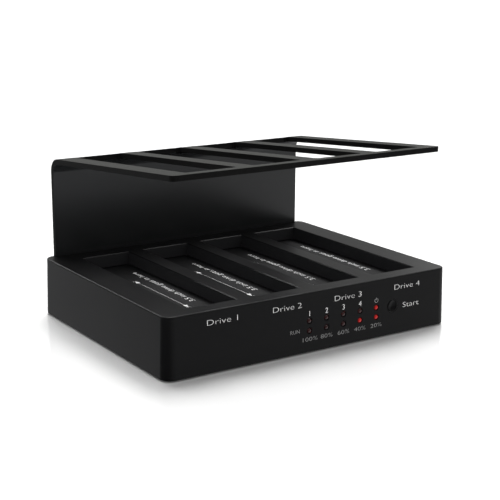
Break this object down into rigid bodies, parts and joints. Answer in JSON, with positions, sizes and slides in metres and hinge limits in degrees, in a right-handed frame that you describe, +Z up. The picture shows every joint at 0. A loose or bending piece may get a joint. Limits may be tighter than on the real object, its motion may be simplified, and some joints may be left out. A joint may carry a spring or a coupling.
{
  "type": "drive duplicator",
  "caption": "Low desktop base with drive bays under sprung flaps, status lights and a start button, and a bent rear plate whose top rack steadies the standing drives.",
  "frame": {"origin": "on the table, under the middle of the base", "axes": "+X to the right seen from the front panel, +Y from the front panel to the rear, +Z up"},
  "size_m": [0.1644, 0.1277, 0.0916],
  "materials": {
    "housing_plastic": "satin black moulded plastic",
    "floor_plastic": "fine-grained black moulded plastic",
    "rack_coating": "satin black powder coat on sheet steel",
    "flap_plastic": "satin black moulded plastic with white print",
    "circuit_board": "green solder mask",
    "light_on": "clear red resin, lit",
    "light_off": "clear red resin, dark",
    "button_plastic": "satin black plastic",
    "socket_plastic": "black glass-filled plastic",
    "bright_steel": "plated steel",
    "black_steel": "black zinc-plated steel",
    "chip_resin": "black moulding resin",
    "can_aluminium": "aluminium can",
    "foot_rubber": "black rubber"
  },
  "bodies": {
    "base": {"top_housing": "housing_plastic", "bottom_cover": "floor_plastic", "drive_rack": "rack_coating", "main_board": "circuit_board", "led_board": "circuit_board", "lights_lit": "light_on", "lights_dark": "light_off", "button_switch": "socket_plastic", "board_link": "socket_plastic", "power_jack": "socket_plastic", "usb_socket": "bright_steel", "power_switch": "socket_plastic", "flap_hinge_rods": "bright_steel", "controller_chips": "chip_resin", "capacitors": "can_aluminium", "power_coils": "chip_resin", "case_screws": "black_steel", "rack_screws": "black_steel", "board_screws": "bright_steel", "led_board_screws": "bright_steel", "rubber_feet": "foot_rubber", "drive_socket_1": "socket_plastic", "drive_socket_2": "socket_plastic", "drive_socket_3": "socket_plastic", "drive_socket_4": "socket_plastic"},
    "start_button": {"start_button": "button_plastic"},
    "power_rocker": {"power_rocker": "button_plastic"},
    "small_flap_1": {"small_flap_1": "flap_plastic", "small_flap_spring_1": "bright_steel"},
    "large_flap_1": {"large_flap_1": "flap_plastic", "large_flap_spring_1": "bright_steel"},
    "small_flap_2": {"small_flap_2": "flap_plastic", "small_flap_spring_2": "bright_steel"},
    "large_flap_2": {"large_flap_2": "flap_plastic", "large_flap_spring_2": "bright_steel"},
    "small_flap_3": {"small_flap_3": "flap_plastic", "small_flap_spring_3": "bright_steel"},
    "large_flap_3": {"large_flap_3": "flap_plastic", "large_flap_spring_3": "bright_steel"},
    "small_flap_4": {"small_flap_4": "flap_plastic", "small_flap_spring_4": "bright_steel"},
    "large_flap_4": {"large_flap_4": "flap_plastic", "large_flap_spring_4": "bright_steel"}
  },
  "joints": [
    {"name": "small_flap_1_hinge", "type": "hinge", "parent": "base", "child": "small_flap_1", "pos_m": [-0.0672, 0, 0.0217], "axis": [0, 1, 0], "range_deg": [0, 90], "stiffness_Nm_per_rad": 0.0015, "springref_deg": -28.65},
    {"name": "large_flap_1_hinge", "type": "hinge", "parent": "base", "child": "large_flap_1", "pos_m": [-0.0378, 0, 0.0217], "axis": [0, -1, 0], "range_deg": [0, 90], "stiffness_Nm_per_rad": 0.0015, "springref_deg": -28.65},
    {"name": "small_flap_2_hinge", "type": "hinge", "parent": "base", "child": "small_flap_2", "pos_m": [-0.0317, 0, 0.0217], "axis": [0, 1, 0], "range_deg": [0, 90], "stiffness_Nm_per_rad": 0.0015, "springref_deg": -28.65},
    {"name": "large_flap_2_hinge", "type": "hinge", "parent": "base", "child": "large_flap_2", "pos_m": [-0.0023, 0, 0.0217], "axis": [0, -1, 0], "range_deg": [0, 90], "stiffness_Nm_per_rad": 0.0015, "springref_deg": -28.65},
    {"name": "small_flap_3_hinge", "type": "hinge", "parent": "base", "child": "small_flap_3", "pos_m": [0.0038, 0, 0.0217], "axis": [0, 1, 0], "range_deg": [0, 90], "stiffness_Nm_per_rad": 0.0015, "springref_deg": -28.65},
    {"name": "large_flap_3_hinge", "type": "hinge", "parent": "base", "child": "large_flap_3", "pos_m": [0.0332, 0, 0.0217], "axis": [0, -1, 0], "range_deg": [0, 90], "stiffness_Nm_per_rad": 0.0015, "springref_deg": -28.65},
    {"name": "small_flap_4_hinge", "type": "hinge", "parent": "base", "child": "small_flap_4", "pos_m": [0.0393, 0, 0.0217], "axis": [0, 1, 0], "range_deg": [0, 90], "stiffness_Nm_per_rad": 0.0015, "springref_deg": -28.65},
    {"name": "large_flap_4_hinge", "type": "hinge", "parent": "base", "child": "large_flap_4", "pos_m": [0.0687, 0, 0.0217], "axis": [0, -1, 0], "range_deg": [0, 90], "stiffness_Nm_per_rad": 0.0015, "springref_deg": -28.65},
    {"name": "start_button_press", "type": "slide", "parent": "base", "child": "start_button", "axis": [0, 1, 0], "range_m": [0, 0.0007], "stiffness_N_per_m": 200, "springref_m": -0.001},
    {"name": "power_rocker_tilt", "type": "hinge", "parent": "base", "child": "power_rocker", "pos_m": [0.0746, 0.06145, 0.0114], "axis": [-1, 0, 0], "range_deg": [0, 18]}
  ]
}
